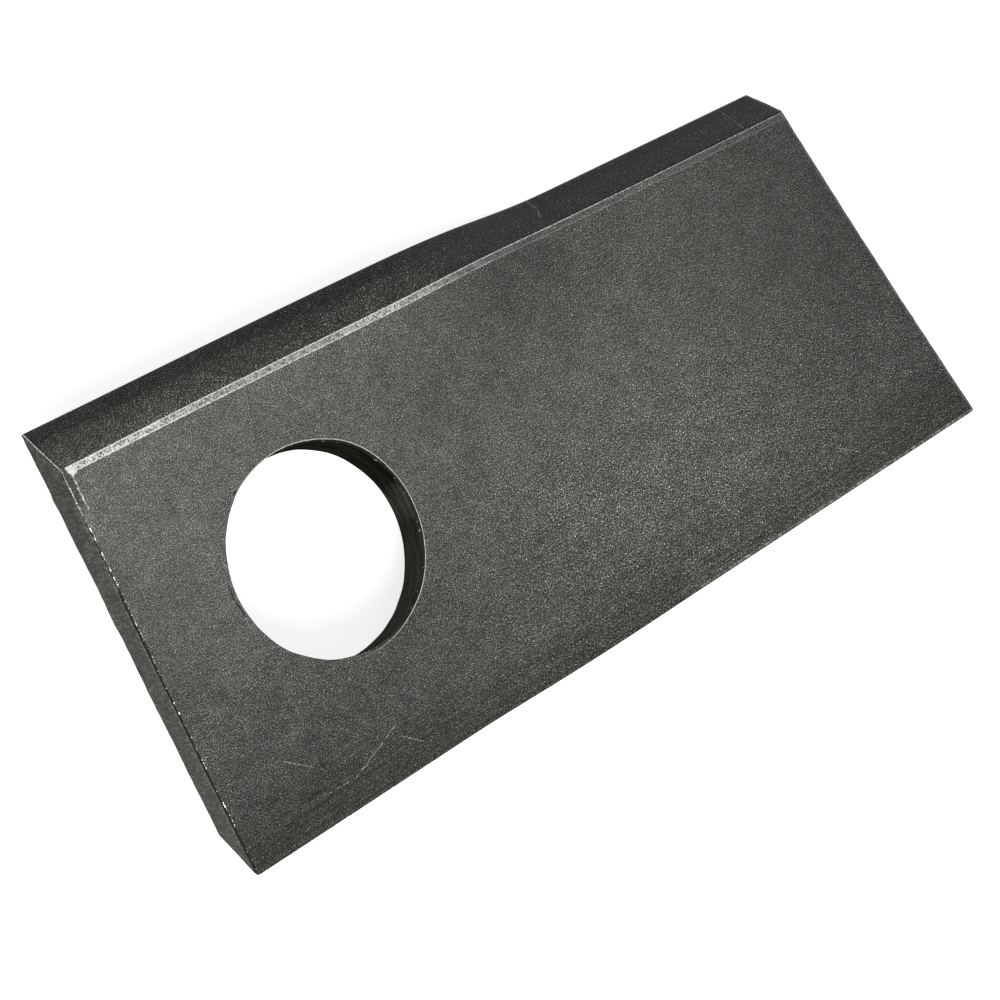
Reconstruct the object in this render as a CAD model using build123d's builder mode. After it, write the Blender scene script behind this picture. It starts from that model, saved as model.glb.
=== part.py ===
from build123d import *
from math import atan, cos, radians, sin, tan
import os

# Disc mower blade: one flat steel bar, bevelled to a cutting edge on each side, punched with
# one round hole and twisted part of the way along.
# Millimetres. The origin is the centre of the hole on the underside of the mounting end,
# +Z goes up through the hole and +X runs along the bar to the cutting end.

# Flat bar
blade_length = 109.0
bar_width = 48.0
bar_thickness = 4.0
bevel_width = 4.6        # sloping flank beside each cutting edge, seen from above
edge_flat = 0.25         # blunt left on each cutting edge
ridge_land = 0.6         # worn strip between the upper flank and the upper face

# Punched mounting hole
hole_diameter = 22.5
hole_setback = 22.5      # mounting end to the hole's centre
hole_side_shift = 0.3    # the hole stands this far off the bar's centre line
punch_rollover = 0.3     # rounded lip where the punch went in

# Twist
twist_angle = 12.5       # the leading edge goes down, the trailing edge comes up
twist_gap = 1.1          # flat steel left between the hole and the twist
twist_run = 30.0         # length of the twisted stretch along the bar
twist_slant = 16.7       # the twist lies this many degrees off square across the bar
twist_steps = 8          # equal steps that the twisted stretch is lofted through

# Sheared ends
corner_radius = 0.5
end_hollow = 0.35        # the cutting end is sheared slightly hollow
end_break = 0.3          # worn break along the upper edge of each end

# Sizes that follow
hole_radius = hole_diameter / 2
half_width = bar_width / 2
bar_middle = -hole_side_shift
mounting_end = -hole_setback
cutting_end = blade_length - hole_setback
slant_rise = tan(radians(twist_slant))
slant_stretch = 1 / cos(radians(twist_slant))
twist_start = hole_radius * slant_stretch + twist_gap
twist_end = twist_start + twist_run
flank_angle = atan((bar_thickness - edge_flat) / bevel_width)
ridge_leg = ridge_land / (2 * cos(flank_angle / 2))
underside = Plane((0, bar_middle, 0))
twist_axis = Axis((0, bar_middle, bar_thickness / 2), (1, 0, 0))
hollow_radius = (half_width**2 + end_hollow**2) / (2 * end_hollow)
hollow_axis = Axis((cutting_end - end_hollow + hollow_radius, bar_middle, 0), (0, 0, 1))


def bar_section(plane, stretch):
    """Cross-section of the bar about its middle, drawn across its width and thickness.

    A section plane that lies slanted across the bar cuts it wider, by the factor stretch.
    """
    top = bar_thickness / 2
    edge = half_width * stretch
    ridge = half_width - bevel_width
    strip_inner = (ridge - ridge_leg) * stretch
    strip_outer = (ridge + ridge_leg * cos(flank_angle)) * stretch
    with BuildSketch(plane) as section:
        with BuildLine():
            Polyline(
                (-ridge * stretch, -top),
                (edge, -top),
                (edge, -top + edge_flat),
                (strip_outer, top - ridge_leg * sin(flank_angle)),
                (strip_inner, top),
                (-edge, top),
                (-edge, top - edge_flat),
                close=True,
            )
        make_face()
    return section.sketch


def turned_plane(along, share, slant):
    """Plane across the bar where its middle line is at along, after a share of the twist."""
    turn = -twist_angle * share
    across = Vector(sin(radians(slant)), cos(radians(slant)), 0).rotate(Axis.X, turn)
    ahead = Vector(cos(radians(slant)), -sin(radians(slant)), 0).rotate(Axis.X, turn)
    return Plane((along, bar_middle, bar_thickness / 2), x_dir=across, z_dir=ahead)


def smooth_share(step):
    """Share of the twist reached at a step from 0 to 1, level at both ends."""
    return step**2 * (3 - 2 * step)


def end_wedge(end, outward):
    """Wedge that takes the worn break off the upper edge of an end, pointing into the bar."""
    with BuildSketch(Plane.XZ) as wedge:
        with BuildLine():
            Polyline(
                (end - 2 * end_break * outward, bar_thickness + end_break),
                (end + end_break * outward, bar_thickness + end_break),
                (end + end_break * outward, bar_thickness - 2 * end_break),
                close=True,
            )
        make_face()
    return wedge.sketch


square_section = bar_section(turned_plane(mounting_end, 0, 0), 1)

# Mounting end: its plan ends on the slanted line where the twist begins.
with BuildPart() as mounting_part:
    with BuildSketch(underside) as mounting_plan:
        with BuildLine():
            Polyline(
                (mounting_end, -half_width),
                (twist_start - half_width * slant_rise, -half_width),
                (twist_start + half_width * slant_rise, half_width),
                (mounting_end, half_width),
                close=True,
            )
        make_face()
        fillet(mounting_plan.vertices().group_by(Axis.X)[0], corner_radius)
    extrude(amount=bar_thickness)
    extrude(square_section, amount=blade_length, mode=Mode.INTERSECT)
    extrude(end_wedge(mounting_end, -1), amount=bar_width, both=True, mode=Mode.SUBTRACT)

# Twisted stretch: the slanted section turns about the bar's middle line.
with BuildPart() as twisted_part:
    slanted_sections = []
    for station in range(twist_steps + 1):
        step = station / twist_steps
        along = twist_start + twist_run * step
        crossing = turned_plane(along, smooth_share(step), twist_slant)
        slanted_sections.append(bar_section(crossing, slant_stretch))
    loft(slanted_sections)

# Cutting end: the same bar, turned by the whole twist, with its end sheared hollow.
with BuildPart() as cutting_part:
    with BuildSketch(underside) as cutting_plan:
        with BuildLine():
            sides = Polyline(
                (cutting_end, -half_width),
                (twist_end - half_width * slant_rise, -half_width),
                (twist_end + half_width * slant_rise, half_width),
                (cutting_end, half_width),
            )
            ThreePointArc(sides @ 1, (cutting_end - end_hollow, 0), sides @ 0)
        make_face()
        fillet(cutting_plan.vertices().group_by(Axis.X)[-1], corner_radius)
    extrude(amount=bar_thickness)
    extrude(square_section, amount=blade_length, mode=Mode.INTERSECT)
    revolve(end_wedge(cutting_end - end_hollow, 1), axis=hollow_axis, mode=Mode.SUBTRACT)

with BuildPart() as blade:
    add(mounting_part.part)
    add(twisted_part.part)
    add(cutting_part.part.rotate(twist_axis, -twist_angle))
    Hole(hole_radius)
    hole_wall = blade.faces().filter_by(GeomType.CYLINDER).sort_by_distance((0, 0, 0))[0]
    fillet(hole_wall.edges().sort_by(Axis.Z)[-1], punch_rollover)

blade.part.label = "blade"

os.makedirs("parts", exist_ok=True)
export_step(blade.part, "parts/blade.step")
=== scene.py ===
from math import pi, radians

import bpy
import numpy as np
from mathutils import Matrix, Vector


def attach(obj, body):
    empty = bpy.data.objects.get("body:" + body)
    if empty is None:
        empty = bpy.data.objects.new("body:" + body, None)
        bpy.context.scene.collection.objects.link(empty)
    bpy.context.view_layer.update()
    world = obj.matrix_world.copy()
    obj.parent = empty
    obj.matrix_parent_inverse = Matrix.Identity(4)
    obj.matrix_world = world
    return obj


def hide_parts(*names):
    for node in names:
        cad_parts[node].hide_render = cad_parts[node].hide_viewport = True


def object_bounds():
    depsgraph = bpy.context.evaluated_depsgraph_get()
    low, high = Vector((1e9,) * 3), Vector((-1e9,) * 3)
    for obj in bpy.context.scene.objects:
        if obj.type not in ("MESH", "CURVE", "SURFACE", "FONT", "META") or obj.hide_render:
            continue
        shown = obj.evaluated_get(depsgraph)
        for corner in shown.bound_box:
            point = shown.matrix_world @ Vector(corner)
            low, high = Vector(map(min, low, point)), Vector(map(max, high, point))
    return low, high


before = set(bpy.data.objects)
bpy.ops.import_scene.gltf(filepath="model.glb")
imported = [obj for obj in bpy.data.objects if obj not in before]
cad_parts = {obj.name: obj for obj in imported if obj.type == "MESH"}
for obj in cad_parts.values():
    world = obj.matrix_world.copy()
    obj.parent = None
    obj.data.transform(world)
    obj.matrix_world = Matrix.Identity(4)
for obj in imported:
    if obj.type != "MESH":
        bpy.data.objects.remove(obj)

cad_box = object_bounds()

MM = 0.001

# Sizes of the blade in millimetres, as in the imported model
LENGTH = 109.0
WIDTH = 48.0
THICKNESS = 4.0
BEVEL = 4.6
EDGE_FLAT = 0.25
HOLE_RADIUS = 11.25
HOLE_SETBACK = 22.5
HOLE_SIDE_SHIFT = 0.3
TWIST_ANGLE = 12.5
TWIST_SLANT = 16.7
TWIST_GAP = 1.1
TWIST_RUN = 30.0

# Sizes that follow
MOUNTING_END = -HOLE_SETBACK
CUTTING_END = LENGTH - HOLE_SETBACK
MIDDLE = -HOLE_SIDE_SHIFT
HALF_WIDTH = WIDTH / 2
RIDGE = HALF_WIDTH - BEVEL
SLANT_RISE = np.tan(radians(TWIST_SLANT))
TWIST_START = HOLE_RADIUS / np.cos(radians(TWIST_SLANT)) + TWIST_GAP
FLANK_LENGTH = float(np.hypot(BEVEL, THICKNESS - EDGE_FLAT))
FLANK_ANGLE = float(np.arctan2(THICKNESS - EDGE_FLAT, BEVEL))

# Spacing of the mesh in millimetres: over the faces, in the square block round the hole, and
# the steps away from an edge, from the hole's rim and down the hole's wall
FACE_STEP = 0.5
BLOCK_HALF = 15.0
MARGIN_NODES = 14
EDGE_STEPS = np.array([0.0, 0.06, 0.13, 0.21, 0.3, 0.42, 0.6, 0.85])
RIM_STEPS = np.array([0.0, 0.06, 0.13, 0.21, 0.3, 0.45, 0.7, 1.05])
WALL_STEPS = np.array([0.06, 0.13, 0.21, 0.3, 0.5, 0.9, 1.4, 1.9, 2.4, 2.9, 3.4, 3.75, 3.87, 3.94])
BLOCK_SHARES = np.linspace(1, 0, 10)[1:-1]

# Wear in millimetres. Worn land on the ridge: how far it reaches down the face and the flank
LAND_INNER = 0.70
LAND_OUTER = 0.08
# How far the land lies down the face from the ridge: by the mounting end and along the bar
LAND_SINK, LAND_SINK_REACH, INNER_SHARE = 0.2, 22.0, 0.6
OUTER_DRIFT, INNER_DRIFT, DRIFT_START, DRIFT_END = 0.22, 0.30, 20.0, 65.0
LAND_WOBBLE = 0.03

# Roundness of the cutting edges, and the breaks along the edges of each end
EDGE_ROUND = 0.08
UPPER_BREAK = 0.2
RIDGE_BREAK = 0.6
LOWER_BREAK = 0.1
# How far the leading edge is worn back: by the mounting end, and along the cutting end
CORNER_WEAR, CORNER_WEAR_REACH = 0.24, 20.0
CUTTING_WEAR, WEAR_START, WEAR_REACH = 0.18, 34.0, 20.0

# Sheared ends: roughness, lean of the mounting end, and how far they stand inside the bar
SHEAR_ROUGH = 0.02
STREAK_ROUGH = 0.02
SHEAR_LEAN = 0.25
SHEAR_INSET = 0.01
LEAST_INSET = 0.016
# Reach along the bar over which the shape of an end fades out
END_REACH = 4.0
# How hollow the cutting end is sheared, at its middle
END_HOLLOW = 0.3
# Corner radii of each end: at its trailing and its leading corner
NEAR_CORNERS, FAR_CORNERS = (0.25, 0.15), (0.45, 0.05)
# Bumps on the lower edge of the mounting end: place across the bar, reach, height
END_BUMPS = ((16.7, 0.5, 0.11), (3.9, 0.6, 0.09))

# Punched hole: its rounded upper rim, the burr below, and the roughness of rim and wall
ROLLOVER = 0.16
BURR = 0.08
HOLE_ROUGH = 0.02
WALL_ROUGH = 0.012
# How far the lower rim is off the upper one, and how much narrower it is across the bar
PUNCH_DRIFT = np.array([0.06, -0.36])
NARROWING = 0.2
# Steel dragged into the hole at its upper rim: angle round the hole, reach in degrees, how far in
RIM_DRAGS = ((-100, 45, 0.28), (80, 28, 0.27))
# Chips on the hole's rim: angle round the hole in degrees, reach along the rim, depth
RIM_CHIPS = ((126, 0.3, 0.1), (48, 0.5, 0.12), (39, 0.35, 0.14), (20, 0.4, 0.08))

# Wobbles: their wavelengths in millimetres
LAND_WAVE, NICK_WAVE, END_WAVE, BREAK_WAVE, STREAK_WAVE = 2.2, 1.7, 5.0, 2.5, 2.0
HOLE_WAVE, ROLLOVER_WAVE, WALL_WAVE, FLANK_WAVE = 4.0, 3.0, 2.0, 9.0
# The share by which they change the roundness of the edges, the breaks and the rollover
NICK_CHANGE, BREAK_CHANGE, ROLLOVER_CHANGE = 0.5, 0.3, 0.35
# Their seeds
UPPER_SEED, LOWER_SEED, END_SEED, BREAK_SEED, STREAK_SEED = 5, 15, 21, 25, 27
HOLE_SEED, ROLLOVER_SEED, WALL_SEED, FLANK_SEED = 31, 32, 33, 41

# Broad patches of the scale, partly stains and partly painted light and shade, with a painted lamp
# reflection as a light band down the face past the hole: place and reach along the bar and down
# from the ridge, and gain
STAINS_AND_PAINTED_LIGHT = (
    (-18, -4, 34, 12, 0.24),
    (-18, -38, 30, 13, -0.34),
    (39, -2, 12, 7, -0.28),
    (44, -22, 20, 13, 0.18),
    (8, -30, 12, 6, -0.12),
    (19, -10, 8, 5, -0.09),
    (-12, -20, 5, 5, 0.13),
    (23, -34, 8, 4, -0.1),
    (69, -10, 9, 7, 0.08),
    (0, 0, 60, 2.6, 0.06),
    (21, -2, 5, 3, 0.1),
    (66, -3, 14, 4, 0.08),
    (82, -9, 6, 9, 0.06),
    (60, -35, 10, 3, -0.05),
)
# Tone of the face, and how much it changes, from where and over what reach: darker down the
# trailing side, cleaner along the trailing edge beyond the hole, and painted shade darker to the
# cutting end, where the lamp's light falls off
FACE_TONE = 0.96
TRAILING_DARKENING, TRAILING_DARK_START, TRAILING_DARK_REACH = 0.42, -34.0, 9.0
EDGE_CLEAN, CLEAN_START, CLEAN_REACH, CLEAN_EDGE = 0.2, 30.0, 8.0, -39.5
FAR_PAINTED_SHADE, FAR_START, FAR_REACH = 0.36, 46.0, 42.0
# Tone of the flank at some places along the bar, and how much lighter it gets at the ridge
FLANK_PLACES, FLANK_TONES = (-4.0, 8.0, 20.0, 30.0, 40.0), (0.22, 0.17, 0.185, 0.15, 0.105)
FLANK_LIFT, FLANK_START, FLANK_REACH = 0.56, -15.0, 52.0
# Lighter patch of the flank: place along the bar, reach, gain
FLANK_PATCH = (21.0, 8.0, 0.17)
# Dark band along the cutting edge: how far down the flank it starts, how dark, and its reach
EDGE_BAND, EDGE_DARK, EDGE_DARK_REACH = 3.9, 0.04, 30.0
FLANK_WOBBLE = 0.05

# Scratches on the skin: from and to, along the bar and down from the ridge, and half width
UPPER_SCRATCHES = (
    (-14.69, -35.13, -10.91, -38.21, 0.045),
    (-8.26, -40.46, -1.85, -38.14, 0.05),
    (-1.63, -39.41, 0.42, -41.09, 0.04),
    (-12.5, -40.2, -8.3, -40.5, 0.035),
    (64.57, -38.35, 67.11, -40.12, 0.055),
    (47.99, 5.5, 47.8, 3.7, 0.07),
    (47.8, 3.7, 46.63, 1.88, 0.05),
    (80.62, 4.66, 79.62, 0.39, 0.05),
    (11.8, 1.6, 13.0, 0.3, 0.05),
    (-20.03, 4.09, -19.93, 4.05, 0.09),
    (59.0, -17.4, 61.2, -18.1, 0.035),
    (28.6, -12.1, 29.0, -12.9, 0.04),
)
UNDER_SCRATCHES = (
    (-15.0, -12.0, -11.5, -7.0, 0.045),
    (2.0, -36.0, 9.0, -34.5, 0.045),
    (24.0, -20.0, 31.0, -24.5, 0.04),
    (52.0, -9.0, 54.5, -12.5, 0.05),
    (66.0, -30.0, 73.0, -28.0, 0.04),
    (38.0, 4.6, 37.4, 2.0, 0.05),
)

# Dark marks by the hole's rim, written as the scratches are
RIM_MARKS = (
    (-9.95, -13.9, -10.75, -15.6, 0.06),
    (-11.72, -17.4, -11.78, -19.0, 0.07),
    (-11.75, -19.2, -11.45, -20.9, 0.07),
    (-6.75, -9.8, -6.45, -9.6, 0.12),
)

# Colours. The worn colour also paints highlights, and the mark colour also paints shade on rounded
# edges
FACE_COLOUR = (0.117, 0.1155, 0.1085, 1)
GRIME_COLOUR = (0.1185, 0.1148, 0.1035, 1)
WORN_AND_HIGHLIGHT_COLOUR = (0.84, 0.83, 0.80, 1)
SHEAR_COLOUR = (0.064, 0.0645, 0.056, 1)
RUST_COLOUR = (0.058, 0.054, 0.043, 1)
WALL_COLOUR = (0.0165, 0.0165, 0.0135)
MARK_AND_SHADE_COLOUR = (0.012, 0.012, 0.011, 1)

# Shine: roughness, specular level, and how metallic the worn steel is
SCALE_ROUGHNESS, SHEAR_ROUGHNESS, WALL_ROUGHNESS = 0.56, 0.62, 0.6
SCALE_SPECULAR, SHEAR_SPECULAR, WALL_SPECULAR = 0.1, 0.05, 0.0
WORN_METAL, WORN_SMOOTHNESS = 0.85, 0.16
# Bumps in the materials: depth in millimetres, and strength
SCALE_RELIEF, SHEAR_RELIEF, WALL_RELIEF = (0.02, 0.6), (0.05, 0.8), (0.03, 0.7)

# How far apart the parts of the skin lie in the noises
PART_SPREAD = 7.3
# Numbers of a Mix node's sockets for colours
COLOUR_MIX_INPUTS, COLOUR_MIX_RESULT = (0, 6, 7), 2

# Camera: where the photograph was taken from, worked out in the blade's own frame
CAMERA_PLACE = Vector((-109.9, 26.4, 198.8)) * MM
CAMERA_AHEAD = Vector((0.5544, -0.1301, -0.8220))
CAMERA_UP = Vector((0.4177, 0.8978, 0.1396))
LENS = 80.5
CLIP_START = 0.001

# Light, and the floor: metres, watts, and strengths
WORLD_LIGHT = 0.35
KEY_TARGET = Vector((0.02, 0, 0))
KEY_DIRECTION = Vector((-0.74, -0.675, 1.0)).normalized()
KEY_DISTANCE = 0.55
KEY_SIZE = 0.35
KEY_POWER = 3.0
FLOOR_REACH = 3.0
FLOOR_COLOUR = (0.8, 0.8, 0.8, 1)
FLOOR_ROUGHNESS = 0.9
FLOOR_GLOW = 0.75

# Which part of the skin a face belongs to, and the number of each part's material
UPPER, UNDERSIDE, NEAR_END, FAR_END, WALL = range(5)
MATERIAL_OF_PART = np.array([0, 0, 1, 1, 2])


def waves(points, wavelength, seed, count=14):
    """Smooth wobble, mostly between -1 and 1, from waves in seeded random directions."""
    draw = np.random.default_rng(seed)
    total = np.zeros(points.shape[:-1])
    for _ in range(count):
        direction = draw.normal(size=points.shape[-1])
        direction /= np.linalg.norm(direction)
        frequency = 2 * pi / (wavelength * draw.uniform(0.6, 1.8))
        total += np.sin(points @ direction * frequency + draw.uniform(0, 2 * pi))
    return total / np.sqrt(count)


def smooth_share(step):
    """Share of the twist reached at a step from 0 to 1, level at both ends."""
    step = np.clip(step, 0, 1)
    return step**2 * (3 - 2 * step)


def between(start, stop, step):
    """Even nodes from start to stop, no more than step apart, both ends included."""
    return np.linspace(start, stop, int(np.ceil(abs(stop - start) / step - 1e-6)) + 1)


def joined(*stretches):
    """Stretches of nodes in one row, with each shared end node kept once."""
    return np.concatenate([stretches[0]] + [stretch[1:] for stretch in stretches[1:]])


def rounded(distance, radius):
    """Rounds a square corner: shift along a surface and depth into it, by distance from it."""
    turn = (pi / 4) * (1 - np.clip(distance / radius, 0, 1))
    along = radius - radius * np.sin(turn) - distance
    depth = radius - radius * np.cos(turn)
    inside = distance < radius
    return np.where(inside, along, 0.0), np.where(inside, depth, 0.0)


def along_nodes():
    """Node places along the bar, closer together at both ends."""
    near = MOUNTING_END + EDGE_STEPS
    far = CUTTING_END - EDGE_STEPS[::-1]
    return joined(
        near,
        between(near[-1], -BLOCK_HALF, FACE_STEP),
        between(-BLOCK_HALF, BLOCK_HALF, FACE_STEP),
        between(BLOCK_HALF, far[0], FACE_STEP),
        far,
    )


def section_nodes():
    """Nodes of one half of the bar's section: place across, height and skin distance.

    They run over the upper face from the trailing edge to the ridge, down the flank and down
    the blunt leading edge. The skin distance is 0 on the ridge and negative on the face. The
    other half of the section is the same, turned half round.
    """
    low = -HALF_WIDTH + EDGE_STEPS
    high = RIDGE - EDGE_STEPS[::-1]
    face = joined(
        low,
        np.linspace(low[-1], -BLOCK_HALF, MARGIN_NODES),
        between(-BLOCK_HALF, BLOCK_HALF, FACE_STEP),
        np.linspace(BLOCK_HALF, high[0], MARGIN_NODES),
        high,
    )
    flank = joined(EDGE_STEPS, between(EDGE_STEPS[-1], FLANK_LENGTH, FACE_STEP))[1:]
    edge = EDGE_FLAT * np.array([1 / 3, 2 / 3])
    across = np.concatenate([face, RIDGE + flank * np.cos(FLANK_ANGLE), HALF_WIDTH + 0 * edge])
    flank_height = THICKNESS - flank * np.sin(FLANK_ANGLE)
    height = np.concatenate([THICKNESS + 0 * face, flank_height, EDGE_FLAT - edge])
    skin = np.concatenate([face - RIDGE, flank, FLANK_LENGTH + edge])
    return across, height, skin, len(face)


def land_borders(x):
    """Inner and outer border of the land along the bar, down the face and down the flank."""
    sink = LAND_SINK * (1 - smooth_share((x - MOUNTING_END) / LAND_SINK_REACH))
    drift = smooth_share((x - DRIFT_START) / (DRIFT_END - DRIFT_START))
    inner = LAND_INNER + INNER_SHARE * sink + INNER_DRIFT * drift
    outer = LAND_OUTER - sink - OUTER_DRIFT * drift
    return inner, outer


def leading_wear(x):
    """How far the leading cutting edge is worn back along the bar."""
    by_the_end = CORNER_WEAR * np.exp(-(((x - MOUNTING_END) / CORNER_WEAR_REACH) ** 2))
    return by_the_end + CUTTING_WEAR * smooth_share((x - WEAR_START) / WEAR_REACH)


def worn_section(x, across, height, skin, seed):
    """The half section at each place x, with the worn strip on its ridge and a nicked edge."""
    inner, outer = land_borders(x)
    inner = (inner + LAND_WOBBLE * waves(x[:, None], LAND_WAVE, seed))[:, None]
    outer = np.maximum(outer, LAND_WOBBLE)[:, None]
    chord = np.clip((skin + inner) / (inner + outer), 0, 1)
    worn = (chord > 0) & (chord < 1)
    y = np.where(worn, RIDGE - inner + chord * (inner + outer * np.cos(FLANK_ANGLE)), across)
    z = np.where(worn, THICKNESS - chord * outer * np.sin(FLANK_ANGLE), height)
    nick = NICK_CHANGE * waves(x[:, None], NICK_WAVE, seed + 1)
    nick = (EDGE_ROUND * (1 + nick))[:, None]
    along, depth = rounded(across + HALF_WIDTH, nick)
    on_face = skin < 0
    return y + np.where(on_face, along, 0), z - np.where(on_face, depth, 0)


def end_shift(y, z, cutting):
    """How far an end stands in from its straight line: corners, rough shear, hollow or lean."""
    trailing, leading = FAR_CORNERS if cutting else NEAR_CORNERS
    radius = np.where(y > 0, leading, trailing)
    into_corner = np.maximum(radius - HALF_WIDTH + np.abs(y), 0)
    corner = radius - np.sqrt(np.maximum(radius**2 - into_corner**2, 0))
    rough = SHEAR_ROUGH * waves(np.stack([y, z * 0.6], -1), END_WAVE, END_SEED + cutting)
    shift = corner + rough
    if cutting:
        return np.maximum(shift + END_HOLLOW * (1 - (y / HALF_WIDTH) ** 2), LEAST_INSET)
    shift = shift + SHEAR_INSET
    height = np.clip(z / THICKNESS, 0, 1)
    lean = SHEAR_LEAN * (y / WIDTH + 0.5) * (0.5 + 0.5 * height)
    bumps = sum(rise * np.exp(-((y - place) / reach) ** 2) for place, reach, rise in END_BUMPS)
    return np.maximum(shift + lean - (1 - height) * bumps, LEAST_INSET)


def with_worn_end(x, y, z, normal, on_top, cutting):
    """The bar's nodes with one end's edges broken and its sheared shape given to it."""
    inward = -1 if cutting else 1
    from_end = CUTTING_END - x if cutting else x - MOUNTING_END
    wear = 1 + BREAK_CHANGE * waves(np.stack([y, z], -1), BREAK_WAVE, BREAK_SEED + cutting)
    upper_break = UPPER_BREAK
    if not cutting:
        upper_break = UPPER_BREAK + (RIDGE_BREAK - UPPER_BREAK) * smooth_share(y / RIDGE)
    along, depth = rounded(from_end, np.where(on_top, upper_break, LOWER_BREAK) * wear)
    y = y - depth * normal[0]
    z = z - depth * normal[1]
    fade = np.clip(1 - from_end / END_REACH, 0, 1) ** 2
    return x + inward * (along + fade * end_shift(y, z, cutting)), y, z


def bar_skin(x, half):
    """Nodes of the bar's skin, row by row along it and column by column round its section."""
    across, height, skin, _ = half
    upper_y, upper_z = worn_section(x, across, height, skin, UPPER_SEED)
    lower_y, lower_z = worn_section(x, across, height, skin, LOWER_SEED)
    y = np.concatenate([upper_y, -lower_y], 1)
    y = y - leading_wear(x)[:, None] * np.clip((y - RIDGE) / BEVEL, 0, 1)
    z = np.concatenate([upper_z, THICKNESS - lower_z], 1)
    x = np.repeat(x[:, None], y.shape[1], 1)
    step_y = np.roll(y, -1, 1) - np.roll(y, 1, 1)
    step_z = np.roll(z, -1, 1) - np.roll(z, 1, 1)
    size = np.hypot(step_y, step_z)
    normal = (-step_z / size, step_y / size)
    on_top = np.concatenate([skin < 0, np.zeros(len(skin), bool)])
    for cutting in (0, 1):
        x, y, z = with_worn_end(x, y, z, normal, on_top, cutting)
    return np.stack([x, y, z], -1)


def end_patch(top, bottom, left, right, cutting):
    """Nodes of a sheared end between its four borders."""
    up_share = ((top[:, 1] - top[0, 1]) / (top[-1, 1] - top[0, 1]))[None, :, None]
    low_share = ((bottom[:, 1] - bottom[0, 1]) / (bottom[-1, 1] - bottom[0, 1]))[None, :, None]
    left_rise = ((left[:, 2] - left[0, 2]) / (left[-1, 2] - left[0, 2]))[:, None, None]
    right_rise = ((right[:, 2] - right[0, 2]) / (right[-1, 2] - right[0, 2]))[:, None, None]
    u = low_share + (up_share - low_share) * (left_rise + right_rise) / 2
    v = left_rise + (right_rise - left_rise) * u
    patch = (1 - v) * bottom[None] + v * top[None] + (1 - u) * left[:, None] + u * right[:, None]
    patch -= (1 - v) * ((1 - u) * bottom[0] + u * bottom[-1]) + v * ((1 - u) * top[0] + u * top[-1])
    y, z = patch[1:-1, 1:-1, 1], patch[1:-1, 1:-1, 2]
    _, top_depth = rounded(THICKNESS - z, UPPER_BREAK)
    _, low_depth = rounded(z, LOWER_BREAK)
    across = np.stack([y * 3, z], -1)
    streaks = STREAK_ROUGH * waves(across, STREAK_WAVE, STREAK_SEED + cutting)
    depth = np.maximum(end_shift(y, z, cutting) + top_depth + low_depth + streaks, LEAST_INSET)
    patch[1:-1, 1:-1, 0] = CUTTING_END - depth if cutting else MOUNTING_END + depth
    return patch


def away_from(bearing, place):
    """Degrees round the hole from a place, from -180 to 180."""
    return (bearing - place + 180) % 360 - 180


def rim_shape(direction):
    """Radius and rollover of the upper rim in each direction, and how far it is drawn in."""
    around = direction * HOLE_RADIUS
    circle = HOLE_RADIUS + HOLE_ROUGH * waves(around, HOLE_WAVE, HOLE_SEED)
    rollover = ROLLOVER * (1 + ROLLOVER_CHANGE * waves(around, ROLLOVER_WAVE, ROLLOVER_SEED))
    bearing = np.degrees(np.arctan2(direction[:, 1], direction[:, 0]))
    drawn_in = 0 * bearing
    for place, reach, drag in RIM_DRAGS:
        dragged = np.exp(-((away_from(bearing, place) / reach) ** 2))
        drawn_in = drawn_in + drag * dragged
        rollover = rollover * (1 - 0.6 * dragged)
    for place, reach, chip in RIM_CHIPS:
        away = radians(1) * away_from(bearing, place) * HOLE_RADIUS
        rollover = rollover + chip * np.exp(-((away / reach) ** 2))
    return circle, rollover, drawn_in


def wall_rings(ring, direction, circle, rollover, burr):
    """Rings of nodes down the wall of the hole, between the rollover and the burr."""
    for down in WALL_STEPS:
        along, depth = rounded(down, rollover)
        low_along, low_depth = rounded(THICKNESS - down, burr)
        place = np.concatenate([direction * HOLE_RADIUS, down + 0 * direction[:, :1]], 1)
        rough = WALL_ROUGH * waves(place, WALL_WAVE, WALL_SEED)
        radius = circle + depth + low_depth + rough
        yield ring(radius, THICKNESS - down - along + low_along)


def hole_rings(upper, lower):
    """Rings of nodes from the upper border to the rim, down the wall and out to the lower one.

    They come with the numbers of the first and the last ring of the wall.
    """
    centre = np.array([0.0, HOLE_SIDE_SHIFT])
    offset = upper[:, :2] - centre
    direction = offset / np.linalg.norm(offset, axis=1)[:, None]
    circle, rollover, drawn_in = rim_shape(direction)
    burr = BURR + 0 * circle

    def ring(radius, height):
        height = np.broadcast_to(height, radius.shape)[:, None]
        depth = 1 - height / THICKNESS
        narrower = NARROWING * depth * direction[:, 1:] ** 2 + drawn_in[:, None] * (1 - depth)
        radius = radius[:, None] - narrower
        return np.concatenate([centre + direction * radius + PUNCH_DRIFT * depth, height], 1)

    def spread(border, height):
        inner = ring(circle + RIM_STEPS[-1], height)[:, :2]
        for share in BLOCK_SHARES:
            flat = inner + (border[:, :2] - inner) * share
            yield np.concatenate([flat, np.full((len(flat), 1), height)], 1)

    rings = [upper, *spread(upper, THICKNESS)]
    for step in RIM_STEPS[::-1]:
        along, depth = rounded(step, rollover)
        rings.append(ring(circle + step + along, THICKNESS - depth))
    first = len(rings) - 1
    rings += wall_rings(ring, direction, circle, rollover, burr)
    last = len(rings)
    for step in RIM_STEPS:
        along, depth = rounded(step, burr)
        rings.append(ring(circle + step + along, depth))
    rings += [*reversed([*spread(lower, 0.0)]), lower]
    return np.array(rings), first, last


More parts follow.
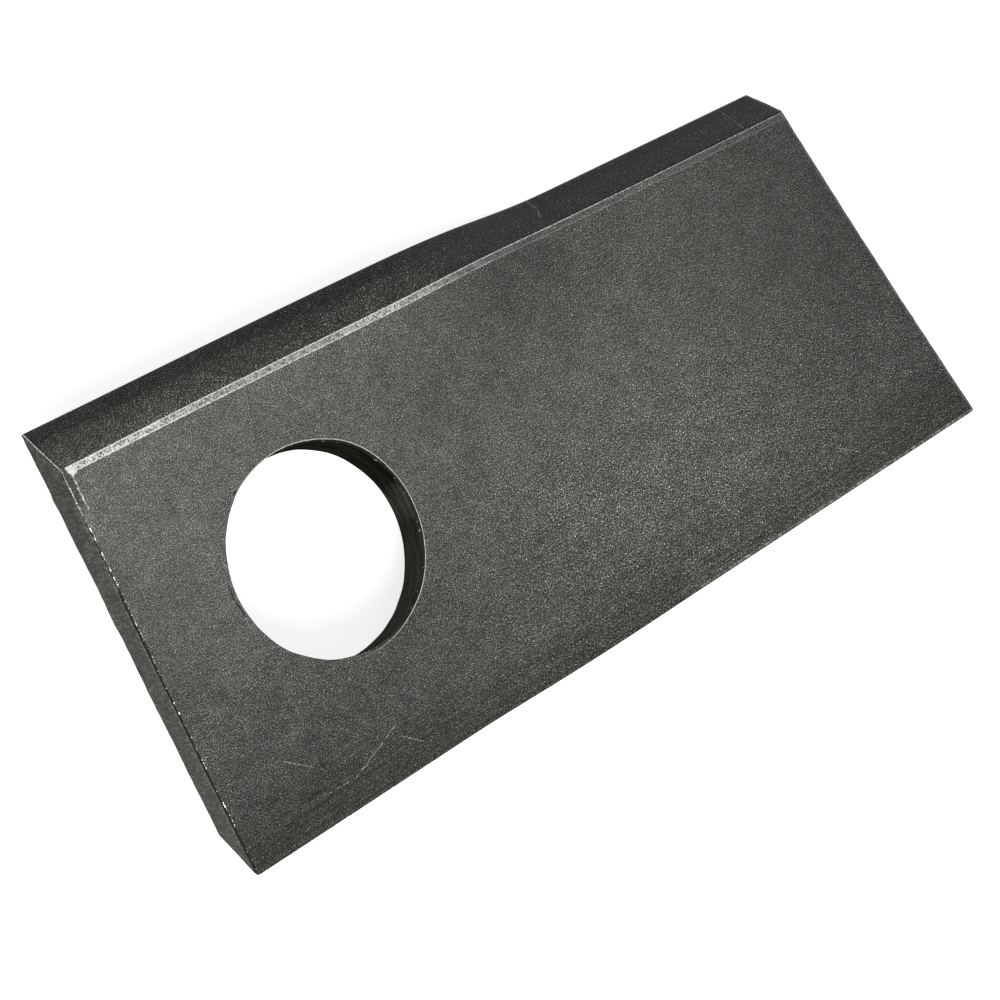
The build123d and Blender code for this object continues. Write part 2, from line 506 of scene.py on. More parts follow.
def block_border(rows, columns):
    """Row and column numbers round the block, counterclockwise seen from above."""
    sides = [
        [(row, columns[0]) for row in rows[:-1]],
        [(rows[-1], column) for column in columns[:-1]],
        [(row, columns[-1]) for row in rows[:0:-1]],
        [(rows[0], column) for column in columns[:0:-1]],
    ]
    return np.array([pair for side in sides for pair in side])


def block_nodes(places):
    """Numbers of the node places inside the square block round the hole."""
    return np.flatnonzero(np.abs(places) < BLOCK_HALF + 1e-6)


def skin_places(u, v, part):
    """Skin places: two distances along the surface, and the part they belong to."""
    return np.stack(np.broadcast_arrays(u, v, float(part)), -1)


def side_regions(x, half, number, rows, columns):
    """Regions of both sides of the bar, with the block round the hole left out."""
    skin = half[2]
    turn = len(skin)
    keep = np.ones((len(x) - 1, turn), bool)
    keep[rows[0]:rows[-1], columns[0]:columns[-1]] = False
    skin_row = np.append(skin, FLANK_LENGTH + EDGE_FLAT)
    for part in (UPPER, UNDERSIDE):
        around = np.arange(part * turn, (part + 1) * turn + 1) % (2 * turn)
        yield number[:, around], skin_places(x[:, None], skin_row[None, :], part), keep, part


def end_region(bar, loop, half, part, first_free):
    """New nodes of a sheared end, and its region between the bar's outermost nodes."""
    turn, face_count = len(half[0]), half[3]
    cutting = part == FAR_END
    top = loop[:face_count]
    bottom = loop[turn:turn + face_count][::-1]
    right = np.append(loop[face_count - 1:turn], loop[turn])[::-1]
    left = np.append(loop[turn + face_count - 1:], loop[0])
    borders = [bar[side] for side in (top, bottom, left, right)]
    patch = end_patch(*borders, cutting)
    inner = patch[1:-1, 1:-1]
    ids = np.zeros(patch.shape[:2], int)
    ids[0], ids[-1], ids[:, 0], ids[:, -1] = bottom, top, left, right
    ids[1:-1, 1:-1] = first_free + np.arange(inner[..., 0].size).reshape(inner.shape[:2])
    spot = skin_places(patch[..., 1], patch[..., 2], part)
    if cutting:
        ids, spot = ids[:, ::-1], spot[:, ::-1]
    return inner.reshape(-1, 3), (ids, spot, None, part)


def hole_regions(bar, upper, lower, first_free):
    """New nodes in the block round the hole, and the regions of its two sides and the wall."""
    rings, first, last = hole_rings(bar[upper], bar[lower])
    ids = np.zeros(rings.shape[:2], int)
    ids[0], ids[-1] = upper, lower
    ids[1:-1] = first_free + np.arange(ids[1:-1].size).reshape(ids[1:-1].shape)
    new_nodes = rings[1:-1].reshape(-1, 3)
    backwards = np.append(0, np.arange(len(upper))[::-1])
    ids, rings = ids[:, backwards], rings[:, backwards]
    regions = []
    for part, side, cut in ((UPPER, 1, slice(None, first + 1)), (UNDERSIDE, -1, slice(last, None))):
        spot = skin_places(rings[cut][..., 0], side * rings[cut][..., 1] - RIDGE, part)
        regions.append((ids[cut], spot, None, part))
    wall = slice(first, last + 1)
    turned = np.unwrap(np.arctan2(rings[..., 1] - HOLE_SIDE_SHIFT, rings[..., 0]), axis=1) + 2 * pi
    spot = skin_places(turned[wall] * HOLE_RADIUS, THICKNESS - rings[wall][..., 2], WALL)
    regions.append((ids[wall], spot, None, WALL))
    return new_nodes, regions


def blade_skin():
    """Node places on the flat bar, and the regions of the skin as grids of node numbers.

    A region is its numbers, its skin places, the quads to keep or None for all, and its part.
    """
    x = along_nodes()
    half = section_nodes()
    across, _, _, face_count = half
    turn = len(across)
    grid = bar_skin(x, half)
    number = np.arange(grid[..., 0].size).reshape(grid.shape[:2])
    bar = grid.reshape(-1, 3)
    rows = block_nodes(x)
    columns = block_nodes(across[:face_count])
    regions = [*side_regions(x, half, number, rows, columns)]

    places = [bar]
    count = number.size
    for part, row in ((NEAR_END, 0), (FAR_END, -1)):
        nodes, region = end_region(bar, number[row], half, part, count)
        places.append(nodes)
        regions.append(region)
        count += len(nodes)

    border = block_border(rows, columns)
    upper = number[border[:, 0], border[:, 1]]
    lower = number[border[:, 0], turn + columns[0] + columns[-1] - border[:, 1]]
    nodes, around_hole = hole_regions(bar, upper, lower, count)
    return np.concatenate([*places, nodes]), regions + around_hole


def twisted(places):
    """Places on the flat bar, turned about its middle line by the twist."""
    x, y, z = places[:, 0], places[:, 1], places[:, 2] - THICKNESS / 2
    turn = -radians(TWIST_ANGLE) * smooth_share((x - SLANT_RISE * y - TWIST_START) / TWIST_RUN)
    turned_y = y * np.cos(turn) - z * np.sin(turn)
    turned_z = y * np.sin(turn) + z * np.cos(turn)
    return np.stack([x, turned_y + MIDDLE, turned_z + THICKNESS / 2], -1)


def flank_tone(x, v):
    """Tone of the flank: darkest in a band along the edge, lighter towards the ridge."""
    place, reach, gain = FLANK_PATCH
    lift = FLANK_LIFT * (1 - smooth_share((x - FLANK_START) / FLANK_REACH))
    lift += gain * np.exp(-(((x - place) / reach) ** 2))
    rise = np.where(v < EDGE_BAND, 0.3 + 0.7 * (EDGE_BAND - v) / EDGE_BAND, 0)
    edge = EDGE_DARK * smooth_share(x / EDGE_DARK_REACH) * (v > EDGE_BAND)
    return np.interp(x, FLANK_PLACES, FLANK_TONES) - edge + lift * rise


def skin_tone(spots):
    """Broad light and dark areas of the scale, partly stains and partly painted light and shade, as
    a factor on its colour at each skin place.
    """
    x, v, part = spots[:, 0], spots[:, 1], spots[:, 2]
    x = np.where(part == UNDERSIDE, MOUNTING_END + CUTTING_END - x, x)
    tone = np.full(len(spots), FACE_TONE)
    # Broad patches: partly stains, partly painted light and shade
    for place_x, place_v, reach_x, reach_v, gain in STAINS_AND_PAINTED_LIGHT:
        tone += gain * np.exp(-(((x - place_x) / reach_x) ** 2) - ((v - place_v) / reach_v) ** 2)
    # Darker down the trailing side
    tone *= 1 - TRAILING_DARKENING * smooth_share((TRAILING_DARK_START - v) / TRAILING_DARK_REACH)
    cleaned = smooth_share((x - CLEAN_START) / CLEAN_REACH) * smooth_share(CLEAN_EDGE - v)
    tone *= 1 + EDGE_CLEAN * cleaned
    # Painted shade: darker to the cutting end, where the lamp's light falls off
    tone *= 1 - FAR_PAINTED_SHADE * smooth_share((x - FAR_START) / FAR_REACH)
    flank = flank_tone(x, v) * (1 + FLANK_WOBBLE * waves(spots[:, :2], FLANK_WAVE, FLANK_SEED))
    tone = np.where(v > land_borders(x)[1], flank, tone)
    return np.where(part < NEAR_END, tone, 1.0)


def corners_of(grid):
    """The four corners of every quad of a grid of nodes."""
    return (grid[:-1, :-1], grid[1:, :-1], grid[1:, 1:], grid[:-1, 1:])


def gathered(regions):
    """Quads of all regions, the skin place of each of their corners, and the part of each."""
    quads, spots, parts = [], [], []
    for ids, spot, keep, part in regions:
        quad = np.stack(corners_of(ids), -1)
        place = np.stack(corners_of(spot), -2)
        chosen = np.ones(quad.shape[:2], bool) if keep is None else keep
        quads.append(quad[chosen])
        spots.append(place[chosen].reshape(-1, 3))
        parts.append(np.full(chosen.sum(), part))
    return np.concatenate(quads), np.concatenate(spots), np.concatenate(parts)


def make_blade(materials):
    """The blade as one mesh object. Each face corner keeps its skin place for the materials."""
    places, regions = blade_skin()
    quads, spots, parts = gathered(regions)
    used, quads = np.unique(quads, return_inverse=True)
    quads = quads.reshape(-1, 4)
    mesh = bpy.data.meshes.new("twisted_blade")
    mesh.from_pydata(twisted(places[used]) * MM, [], quads.tolist())
    for material in materials:
        mesh.materials.append(material)
    mesh.polygons.foreach_set("material_index", MATERIAL_OF_PART[parts])
    mesh.polygons.foreach_set("use_smooth", np.ones(len(quads), bool))
    skin = mesh.attributes.new("skin", "FLOAT_VECTOR", "CORNER")
    skin.data.foreach_set("vector", spots.astype(np.float32).ravel())
    tone = mesh.attributes.new("tone", "FLOAT", "CORNER")
    tone.data.foreach_set("value", skin_tone(spots).astype(np.float32))
    mesh.validate()
    blade = bpy.data.objects.new("twisted_blade", mesh)
    bpy.context.scene.collection.objects.link(blade)
    return blade


class Paint:
    """Node tree of one material, built up from sums, steps and noises of the skin places."""

    def __init__(self, name):
        self.material = bpy.data.materials.new(name)
        self.material.use_nodes = True
        self.tree = self.material.node_tree
        self.shader = self.tree.nodes["Principled BSDF"]
        self.skin = self.node("ShaderNodeAttribute", attribute_name="skin").outputs["Vector"]
        self.tone = self.node("ShaderNodeAttribute", attribute_name="tone").outputs["Fac"]
        parts = self.node("ShaderNodeSeparateXYZ", {"Vector": self.skin})
        self.u, self.v, self.part = parts.outputs

    def put(self, socket, value):
        if isinstance(value, bpy.types.NodeSocket):
            self.tree.links.new(value, socket)
        else:
            socket.default_value = value

    def node(self, kind, inputs=None, **settings):
        node = self.tree.nodes.new(kind)
        for name, value in settings.items():
            setattr(node, name, value)
        for socket, value in (inputs or {}).items():
            self.put(node.inputs[socket], value)
        return node

    def math(self, operation, *values, clamp=False):
        node = self.node("ShaderNodeMath", dict(enumerate(values)), operation=operation)
        node.use_clamp = clamp
        return node.outputs[0]

    def vector(self, operation, *values, output="Vector"):
        node = self.node("ShaderNodeVectorMath", dict(enumerate(values)), operation=operation)
        return node.outputs[output]

    def scaled(self, vector, factor):
        inputs = {0: vector, "Scale": factor}
        return self.node("ShaderNodeVectorMath", inputs, operation="SCALE").outputs[0]

    def affine(self, value, gain, offset):
        """The value times gain, plus offset."""
        return self.math("MULTIPLY_ADD", value, gain, offset)

    def chain(self, operation, *values):
        total = values[0]
        for value in values[1:]:
            total = self.math(operation, total, value)
        return total

    def product(self, *values):
        return self.chain("MULTIPLY", *values)

    def total(self, *values):
        return self.chain("ADD", *values)

    def largest(self, *values):
        return self.chain("MAXIMUM", *values)

    def step(self, value, low, high):
        """0 at low and 1 at high, smooth between them."""
        inputs = {"Value": value, "From Min": low, "From Max": high}
        node = self.node("ShaderNodeMapRange", inputs, interpolation_type="SMOOTHSTEP")
        return node.outputs["Result"]

    def band(self, value, low, high, soft):
        """1 between low and high, fading out over soft."""
        return self.product(self.step(value, low - soft, low), self.step(value, high + soft, high))

    def noise(self, scale, detail=2.0, roughness=0.5, stretch=(1, 1), place=None):
        """Noise about 0, mostly between -0.5 and 0.5. The scale is features in a millimetre."""
        place = self.vector("MULTIPLY", place or self.skin, (*stretch, PART_SPREAD))
        inputs = {"Vector": place, "Scale": scale, "Detail": detail, "Roughness": roughness}
        fac = self.node("ShaderNodeTexNoise", inputs).outputs["Fac"]
        return self.affine(fac, 2.0, -1.0)

    def specks(self, cells, size, share):
        """Small dots, one in some of the cells. Cells are counted in a millimetre."""
        cell = self.node("ShaderNodeTexVoronoi", {"Vector": self.skin, "Scale": cells})
        chance = self.node("ShaderNodeSeparateColor", {"Color": cell.outputs["Color"]}).outputs[0]
        dot = self.step(cell.outputs["Distance"], size * cells, 0.3 * size * cells)
        return self.product(dot, self.math("LESS_THAN", chance, share))

    def mixed(self, factor, first, second):
        """From the first colour at 0 to the second at 1."""
        node = self.node("ShaderNodeMix", data_type="RGBA")
        for index, value in zip(COLOUR_MIX_INPUTS, (factor, first, second)):
            self.put(node.inputs[index], value)
        return node.outputs[COLOUR_MIX_RESULT]

    def scratch(self, place, start_x, start_v, end_x, end_v, half_width, part):
        """1 on a thin line between two skin places, 0 away from it."""
        start = Vector((start_x, start_v, part))
        run = Vector((end_x, end_v, part)) - start
        from_start = self.vector("SUBTRACT", place, start)
        share = self.vector("DOT_PRODUCT", from_start, run / run.length_squared, output="Value")
        share = self.math("MULTIPLY", share, 1.0, clamp=True)
        foot = self.scaled(run, share)
        away = self.vector("DISTANCE", from_start, foot, output="Value")
        return self.step(away, 1.6 * half_width, 0.4 * half_width)

    def surface(self, colour, roughness, specular):
        """Gives the shader its colour, its roughness and its specular level."""
        self.put(self.shader.inputs["Base Color"], colour)
        self.put(self.shader.inputs["Roughness"], roughness)
        self.put(self.shader.inputs["Specular IOR Level"], specular)

    def relief(self, height, depth, strength):
        """Bump of the given depth in millimetres."""
        inputs = {"Height": height, "Strength": strength, "Distance": depth * MM}
        bump = self.node("ShaderNodeBump", inputs)
        self.put(self.shader.inputs["Normal"], bump.outputs["Normal"])

    def turned(self, degrees):
        """The skin place, turned on the surface."""
        inputs = {"Vector": self.skin, "Rotation": (0, 0, radians(degrees))}
        return self.node("ShaderNodeMapping", inputs).outputs[0]


class ScalePaint(Paint):
    """Paint of the rolled scale, with the places and noises that its marks share."""

    def __init__(self, name):
        super().__init__(name)
        self.upper = self.math("LESS_THAN", self.part, 0.5)
        self.from_end = self.math("SUBTRACT", self.u, MOUNTING_END)
        self.to_end = self.math("SUBTRACT", CUTTING_END, self.u)
        self.from_edge = self.math("ADD", self.v, HALF_WIDTH + RIDGE)
        self.grain = self.noise(5.5, 2.0, 0.8)
        self.clumps = self.noise(1.6, 2.0, 0.6)
        self.blotches = self.noise(0.22, 3.0, 0.6)
        self.ragged = self.noise(2.4, 2.0)
        self.patchy_x = self.affine(self.noise(0.5, 3.0), 16.0, self.u)
        self.place_end()
        self.place_rim()
        self.place_land()

    def place_end(self):
        """Distance from the worn edge of the mounting end, which wanders down the face."""
        middle = self.product(self.step(self.v, -12.0, -26.0), 0.11)
        low = self.product(self.step(self.v, -34.0, -40.0), -0.08)
        high = self.product(self.step(self.v, -7.0, -4.0), 0.1)
        self.edge_place = self.total(self.from_end, middle, low, high)

    def place_rim(self):
        """Distance from the worn rim of the hole, and the side where its line is seen."""
        centre = Vector((0, HOLE_SIDE_SHIFT - RIDGE, 0))
        distance = self.vector("DISTANCE", self.skin, centre, output="Value")
        rolled = self.product(self.step(self.u, 5.0, 9.5), -0.15)
        drawn_in = self.product(self.step(self.v, -10.5, -7.6), 0.25)
        self.from_rim = self.total(distance, -HOLE_RADIUS, drawn_in, rolled)
        self.far_side = self.step(self.affine(self.v, 0.35, self.u), -14.0, -4.0)

    def place_land(self):
        """Distances up from the land's outer border and up from its inner one."""
        sink = self.product(self.step(self.from_end, LAND_SINK_REACH, 0.0), LAND_SINK)
        drift = self.step(self.u, DRIFT_START, DRIFT_END)
        outer_drift = self.product(drift, OUTER_DRIFT)
        inner_drift = self.product(drift, INNER_DRIFT)
        inner_sink = self.product(sink, INNER_SHARE)
        self.from_outer = self.total(self.v, sink, outer_drift, -LAND_OUTER)
        self.from_inner = self.total(self.v, inner_sink, inner_drift, LAND_INNER)


def scale_grain(paint, on_flank, mottle):
    """Fine grain as a factor: coarser along the bar, stronger on the flank and low down."""
    low = paint.step(paint.v, -15.0, -30.0)
    coarser = paint.step(paint.u, -20.0, 50.0)
    fine = paint.total(
        paint.product(paint.noise(8.0, 0.0), 2.0),
        paint.product(paint.grain, paint.affine(coarser, 3.0, 1.0)),
        paint.product(paint.clumps, 0.5),
        paint.product(mottle, 0.45),
    )
    contrast = paint.total(1.0, paint.product(on_flank, 0.85), paint.product(low, 0.3))
    mean = paint.total(-0.16, paint.product(coarser, -0.14), paint.product(low, -0.1))
    return paint.math("EXPONENT", paint.affine(fine, contrast, mean))


def scale_colour(paint):
    """Dark grey scale: browner and streaked along the trailing edge, with strokes on the flank."""
    on_flank = paint.step(paint.v, -0.1, 0.1)
    grimy = paint.step(paint.v, -36.5, -40.0)
    mottle = paint.noise(0.7, 3.0, 0.7)
    rolled = paint.noise(3.2, 2.0, 0.5, stretch=(0.012, 1))
    strokes = paint.noise(3.4, 2.0, 0.6, stretch=(0.22, 1), place=paint.turned(-38))
    stroke_level = paint.product(on_flank, paint.affine(paint.step(paint.u, 0.0, 35.0), 0.8, 0.4))
    tone = paint.product(
        paint.tone,
        scale_grain(paint, on_flank, mottle),
        paint.affine(paint.blotches, 0.4, 1.0),
        paint.affine(paint.product(rolled, grimy), 0.7, 1.0),
        paint.affine(strokes, stroke_level, 1.0),
    )
    mottled = paint.product(paint.step(mottle, 0.0, 0.4), 0.5)
    brown = paint.largest(grimy, mottled, paint.product(on_flank, 0.9))
    return paint.scaled(paint.mixed(brown, FACE_COLOUR, GRIME_COLOUR), tone)


def land_hatching(paint):
    """Cross-hatching of the worn land, as a factor."""
    across = (1, 0.4)
    hatch = paint.total(
        paint.noise(7.0, 2.0, 0.8, stretch=across, place=paint.turned(16)),
        paint.noise(7.0, 2.0, 0.8, stretch=across, place=paint.turned(-24)),
        paint.product(paint.clumps, 0.4),
    )
    return paint.affine(paint.step(hatch, -0.2, 0.26), 1.75, 0.1)


def worn_land_and_highlights(paint):
    """Worn land along the ridge: bright and cross-hatched near the hole, dull further along, with
    painted highlights in bright broken lines along both its borders.
    """
    fade = paint.step(paint.patchy_x, 44.0, 14.0)
    glow = paint.step(paint.from_end, 22.0, 0.0)
    patch = paint.product(paint.band(paint.u, 17.0, 23.0, 6.0), 0.16)
    along = paint.product(paint.step(paint.u, 60.0, 48.0), 0.15)
    near = paint.product(glow, 0.5)
    level = paint.total(0.04, paint.product(fade, 0.25), paint.product(glow, 0.4), patch)
    upper_level = paint.total(0.47, along, paint.product(fade, 0.3), near)
    lower_level = paint.total(0.19, paint.product(fade, 0.66), near)

    wavy = paint.product(paint.ragged, 0.07)
    from_outer = paint.total(paint.from_outer, wavy)
    from_inner = paint.total(paint.from_inner, wavy)
    below_outer = paint.step(from_outer, 0.02, -0.03)
    above_inner = paint.step(from_inner, -0.02, 0.03)
    land = paint.product(below_outer, above_inner, level, land_hatching(paint))
    flaky = paint.affine(paint.step(paint.noise(3.6, 3.0, 0.8), -0.2, 0.2), 1.1, 0.35)
    # Painted highlights: bright broken lines on the land's outer edge at the ridge and along its
    # inner border
    upper_highlight = paint.product(paint.band(from_outer, -0.09, -0.01, 0.03), upper_level, flaky)
    lower_highlight = paint.product(paint.band(from_inner, -0.01, 0.07, 0.03), lower_level, flaky)
    begins = paint.step(paint.affine(paint.v, 0.4, paint.from_end), 0.6, 0.72)
    return paint.product(paint.largest(land, upper_highlight, lower_highlight), begins)


def corner_patch(paint):
    """Bright patch where the land meets the mounting end."""
    leaning = paint.affine(paint.v, 0.4, paint.from_end)
    leaning = paint.affine(paint.ragged, 0.2, leaning)
    below_land = paint.affine(leaning, -0.25, paint.from_inner)
    return paint.product(
        paint.band(leaning, 0.66, 1.25, 0.2),
        paint.step(paint.from_outer, 0.05, -0.1),
        paint.step(below_land, -0.55, -0.42),
        paint.affine(paint.step(paint.grain, -0.15, 0.1), 0.4, 0.6),
    )


def corner_line(paint):
    """Thin bright line from the corner patch down the face, beside the mounting end."""
    return paint.product(
        paint.band(paint.affine(paint.ragged, 0.3, paint.from_end), 1.03, 1.13, 0.05),
        paint.band(paint.v, -4.4, -0.9, 0.4),
        paint.step(paint.noise(3.0, 3.0, 0.8), -0.3, 0.15),
        0.8,
    )


def end_dashes(paint):
    """Bright dashes along the mounting end's upper edge."""
    many = paint.product(paint.band(paint.v, -13.0, -3.5, 3.0), 0.1)
    dashes = paint.step(paint.total(paint.noise(2.0, 3.0, 0.8), many), 0.14, 0.2)
    unbroken = paint.product(paint.step(paint.v, -4.5, -3.0), 0.25)
    return paint.product(
        paint.band(paint.edge_place, 0.16, 0.26, 0.03),
        paint.step(paint.v, 0.1, -0.1),
        paint.largest(dashes, unbroken),
    )


def mounting_end_wear_and_highlight(paint):
    """Bright corner, the line below it, dashes along the end, and a painted highlight along the
    flank's end.
    """
    # Painted highlight: thin bright line along the edge where the flank meets the mounting end
    flank_end_highlight = paint.product(
        paint.band(paint.from_end, 0.0, 0.1, 0.04),
        paint.step(paint.v, -0.1, 0.1),
        paint.affine(paint.step(paint.ragged, -0.2, 0.1), 0.45, 0.35),
    )
    return paint.largest(corner_patch(paint), corner_line(paint), end_dashes(paint), flank_end_highlight)


def rim_wear(paint):
    """Thin worn line on the rim of the hole, brighter in dashes."""
    line = paint.band(paint.affine(paint.ragged, 0.05, paint.from_rim), 0.15, 0.19, 0.03)
    dashes = paint.step(paint.noise(2.2, 3.0, 0.8), 0.04, 0.14)
    return paint.product(paint.upper, line, paint.far_side, paint.affine(dashes, 0.35, 0.65))


def edge_wear_and_highlight(paint):
    """Worn line along the trailing edge, and a painted highlight in a thin lighter band just inside
    the cutting end.
    """
    line = paint.product(
        paint.band(paint.from_edge, 0.14, 0.34, 0.08),
        paint.step(paint.patchy_x, 34.0, 46.0),
        paint.affine(paint.step(paint.ragged, 0.0, 0.2), 0.26, 0.07),
    )
    # Painted highlight: thin lighter band just inside the cutting end's dark edge
    cutting_end_highlight = paint.product(
        paint.band(paint.to_end, 0.2, 0.46, 0.06),
        paint.affine(paint.ragged, 0.1, 0.085),
    )
    return paint.largest(line, cutting_end_highlight)


def scratches_and_flecks(paint):
    """Fine scratches, and small light flecks over the face."""
    inputs = {"Vector": paint.skin, "Scale": 0.9, "Detail": 1.0}
    wobble = paint.node("ShaderNodeTexNoise", inputs).outputs["Color"]
    offset = paint.scaled(paint.vector("SUBTRACT", wobble, (0.5, 0.5, 0.5)), 0.25)
    place = paint.vector("ADD", paint.skin, offset)
    lines = [paint.scratch(place, *line, UPPER) for line in UPPER_SCRATCHES]
    lines += [paint.scratch(place, *line, UNDERSIDE) for line in UNDER_SCRATCHES]
    scratches = paint.product(paint.largest(*lines), paint.affine(paint.grain, 1.2, 0.2))
    small = paint.product(paint.specks(2.4, 0.07, 0.6), 0.24)
    large = paint.product(paint.specks(0.9, 0.10, 0.3), 0.45)
    flecks = paint.product(paint.largest(small, large), paint.step(paint.v, 4.0, -0.5))
    return paint.largest(scratches, flecks)


def dark_marks_and_shade(paint):
    """Painted shade on the rounded edges of both ends, dark lines beside the rim and the land, the
    dull corner and nicks on the rim.
    """
    # Painted shade: dark band on the rounded edge of the mounting end
    end_edge_shade = paint.product(
        paint.step(paint.edge_place, 0.26, 0.18),
        paint.step(paint.v, -4.5, -6.5),
    )
    rim_edge = paint.product(
        paint.step(paint.from_rim, 0.14, 0.1),
        paint.far_side,
        paint.upper,
    )
    # Painted shade: dark outline on the rounded edge of the cutting end
    far_edge_shade = paint.product(paint.step(paint.to_end, 0.2, 0.12), 0.85)
    dull_corner = paint.product(
        paint.step(paint.from_end, 0.98, 0.74),
        paint.band(paint.v, -3.6, -0.2, 0.9),
        0.48,
    )
    above_land = paint.product(
        paint.band(paint.from_outer, 0.06, 0.2, 0.06),
        paint.step(paint.u, 22.0, 34.0),
        0.35,
    )
    marks = [paint.scratch(paint.skin, *line, UPPER) for line in RIM_MARKS]
    return paint.largest(end_edge_shade, rim_edge, far_edge_shade, dull_corner, above_land, *marks)


def scale_material():
    """Dark rolled scale with its worn land, edges and scratches, painted highlights on the land's
    borders, the flank's end and the cutting end, and painted shade on the rounded ends.
    """
    paint = ScalePaint("dark_scale")
    # Wear together with painted highlights on the edges
    worn = paint.largest(
        worn_land_and_highlights(paint),
        mounting_end_wear_and_highlight(paint),
        rim_wear(paint),
        edge_wear_and_highlight(paint),
        scratches_and_flecks(paint),
    )
    shaded = paint.mixed(dark_marks_and_shade(paint), scale_colour(paint), MARK_AND_SHADE_COLOUR)
    uneven = paint.product(paint.clumps, 0.12)
    roughness = paint.total(SCALE_ROUGHNESS, uneven, paint.product(worn, -WORN_SMOOTHNESS))
    paint.surface(paint.mixed(worn, shaded, WORN_AND_HIGHLIGHT_COLOUR), roughness, SCALE_SPECULAR)
    paint.put(paint.shader.inputs["Metallic"], paint.product(worn, WORN_METAL))
    paint.relief(paint.total(paint.grain, paint.product(paint.clumps, 0.3)), *SCALE_RELIEF)
    return paint.material


def sheared_material():
    """Sheared end: rough dark steel, streaked across, with painted shade in a dark line along its
    rounded top edge and a light line just below it.
    """
    paint = Paint("sheared_end")
    streaks = paint.noise(4.5, 2.0, 0.7, stretch=(1, 0.25))
    grain = paint.noise(6.0, 1.0, 0.7)
    blotches = paint.noise(0.6, 3.0, 0.6)
    shift = paint.affine(paint.step(paint.u, -4.0, 16.0), 0.38, -0.18)
    down = paint.total(paint.math("SUBTRACT", THICKNESS, paint.v), shift)
    # Painted shade: dark line along the rounded top edge of the end
    top_edge_shade = paint.step(down, 0.16, 0.1)
    light_line = paint.product(paint.band(down, 0.2, 0.5, 0.1), paint.step(grain, -0.25, 0.1))
    rough = paint.total(paint.product(streaks, 1.6), paint.product(grain, 1.2), -0.06)
    tone = paint.product(
        paint.math("EXPONENT", rough),
        paint.affine(blotches, 0.7, 1.0),
        paint.affine(light_line, 0.6, 1.0),
    )
    by_the_ridge = paint.product(paint.step(paint.u, 12.0, 18.0), 0.8)
    rusty = paint.largest(paint.step(blotches, 0.0, 0.35), by_the_ridge)
    steel = paint.scaled(paint.mixed(rusty, SHEAR_COLOUR, RUST_COLOUR), tone)
    roughness = paint.affine(streaks, 0.2, SHEAR_ROUGHNESS)
    paint.surface(paint.mixed(top_edge_shade, steel, MARK_AND_SHADE_COLOUR), roughness, SHEAR_SPECULAR)
    paint.relief(paint.affine(grain, 0.5, streaks), *SHEAR_RELIEF)
    return paint.material


def wall_material():
    """Punched wall of the hole: dark and streaked, lighter in places, with worn specks on top."""
    paint = Paint("punched_wall")
    streaks = paint.noise(2.0, 4.0, 0.6, stretch=(0.16, 1))
    grain = paint.noise(5.0, 2.0, 0.7)
    patch = paint.product(paint.band(paint.u, -1.0, 2.0, 1.0), paint.band(paint.v, 0.4, 1.6, 0.5))
    trailing = paint.product(paint.step(paint.u, -2.0, -12.0), 2.6)
    tone = paint.product(
        paint.affine(streaks, 1.6, 1.0),
        paint.affine(grain, 1.0, 1.0),
        paint.affine(patch, 0.9, 1.0),
        paint.total(0.55, paint.step(paint.u, 3.5, 0.5), trailing),
    )
    specks = paint.product(
        paint.step(paint.v, 0.2, 0.1),
        paint.step(paint.noise(1.1, 3.0, 0.7), 0.15, 0.3),
        0.5,
    )
    colour = paint.mixed(specks, paint.scaled(WALL_COLOUR, tone), WORN_AND_HIGHLIGHT_COLOUR)
    paint.surface(colour, paint.affine(streaks, 0.2, WALL_ROUGHNESS), WALL_SPECULAR)
    paint.relief(paint.affine(grain, 0.4, streaks), *WALL_RELIEF)
    return paint.material


def make_camera():
    """Camera at the photograph's viewing angle."""
    ahead = CAMERA_AHEAD.normalized()
    right = ahead.cross(CAMERA_UP).normalized()
    up = right.cross(ahead)
    turned = Matrix((right, up, -ahead)).transposed().to_4x4()
    camera = bpy.data.objects.new("camera", bpy.data.cameras.new("camera"))
    camera.data.lens = LENS
    camera.data.clip_start = CLIP_START
    camera.matrix_world = Matrix.Translation(CAMERA_PLACE) @ turned
    bpy.context.scene.collection.objects.link(camera)
    bpy.context.scene.camera = camera


def seen_or_reflected(tree):
    """1 for rays from the camera, from gloss and through glass, 0 for the light on the blade."""
    path = tree.nodes.new("ShaderNodeLightPath")
    either = path.outputs["Is Camera Ray"]
    for name in ("Is Glossy Ray", "Is Transmission Ray"):
        larger = tree.nodes.new("ShaderNodeMath")
        larger.operation = "MAXIMUM"
        tree.links.new(either, larger.inputs[0])
        tree.links.new(path.outputs[name], larger.inputs[1])
        either = larger.outputs[0]
    return either


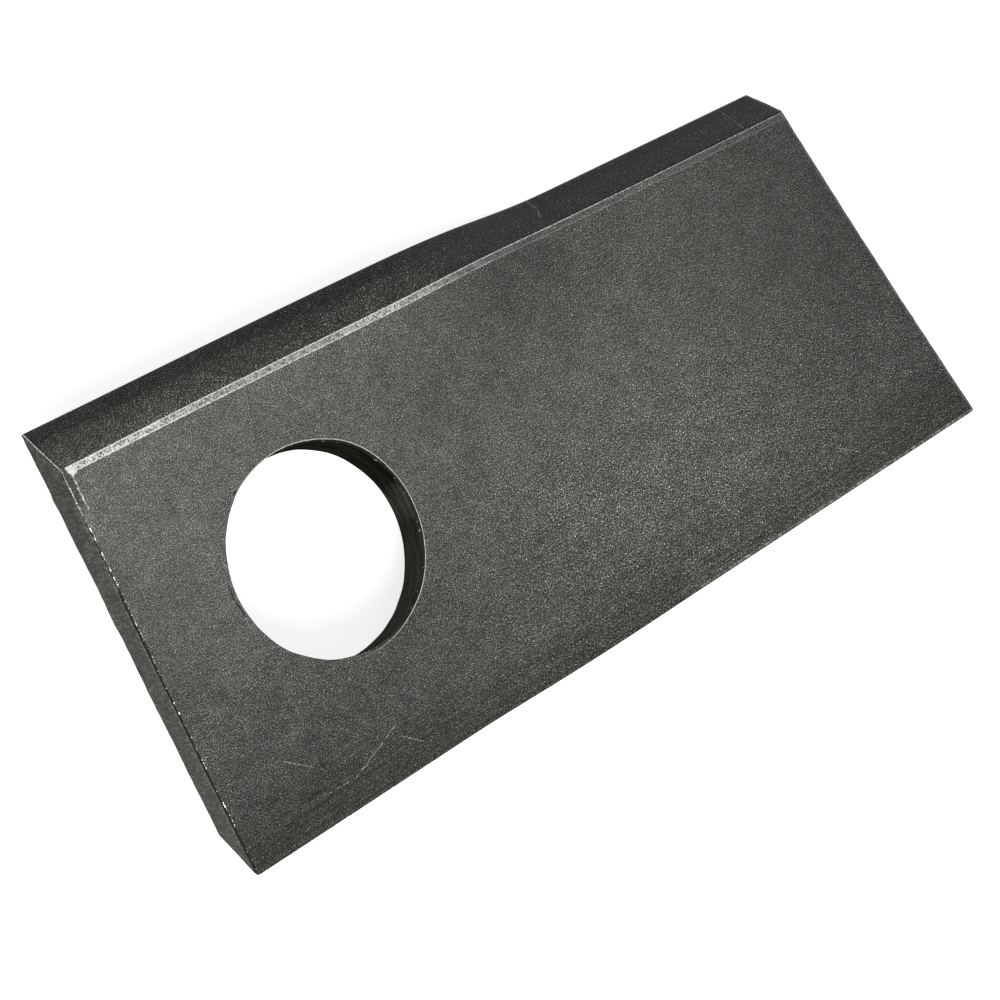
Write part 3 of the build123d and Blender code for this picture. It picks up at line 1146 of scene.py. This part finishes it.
def make_floor(level):
    """Pale floor, white where it is seen or reflected, with the blade's shadow on it."""
    signs = ((-1, -1), (1, -1), (1, 1), (-1, 1))
    corners = [(x * FLOOR_REACH, y * FLOOR_REACH, level) for x, y in signs]
    mesh = bpy.data.meshes.new("floor")
    mesh.from_pydata(corners, [], [(0, 1, 2, 3)])
    floor = bpy.data.objects.new("floor", mesh)
    bpy.context.scene.collection.objects.link(floor)
    material = bpy.data.materials.new("pale_floor")
    material.use_nodes = True
    tree = material.node_tree
    shader = tree.nodes["Principled BSDF"]
    shader.inputs["Base Color"].default_value = FLOOR_COLOUR
    shader.inputs["Roughness"].default_value = FLOOR_ROUGHNESS
    shader.inputs["Emission Color"].default_value = (1, 1, 1, 1)
    glow = tree.nodes.new("ShaderNodeMath")
    glow.operation = "MULTIPLY"
    glow.inputs[1].default_value = FLOOR_GLOW
    tree.links.new(seen_or_reflected(tree), glow.inputs[0])
    tree.links.new(glow.outputs[0], shader.inputs["Emission Strength"])
    mesh.materials.append(material)


def make_world():
    """Even white light, and a white background where it is seen or reflected."""
    world = bpy.data.worlds.new("studio")
    world.use_nodes = True
    bpy.context.scene.world = world
    tree = world.node_tree
    background = tree.nodes["Background"]
    background.inputs["Color"].default_value = (1, 1, 1, 1)
    strength = tree.nodes.new("ShaderNodeMix")
    strength.inputs["A"].default_value = WORLD_LIGHT
    strength.inputs["B"].default_value = 1.0
    tree.links.new(seen_or_reflected(tree), strength.inputs["Factor"])
    tree.links.new(strength.outputs["Result"], background.inputs["Strength"])


def make_key():
    """Soft square lamp above the blade."""
    lamp = bpy.data.lights.new("key", "AREA")
    lamp.shape = "SQUARE"
    lamp.size = KEY_SIZE
    lamp.energy = KEY_POWER
    key = bpy.data.objects.new("key", lamp)
    key.location = KEY_TARGET + KEY_DIRECTION * KEY_DISTANCE
    key.rotation_euler = KEY_DIRECTION.to_track_quat("Z", "Y").to_euler()
    bpy.context.scene.collection.objects.link(key)


bpy.context.scene.view_settings.view_transform = "Standard"
blade = make_blade([scale_material(), sheared_material(), wall_material()])
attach(blade, "root")
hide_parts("blade")
make_camera()
make_floor(cad_box[0][2])
make_world()
make_key()
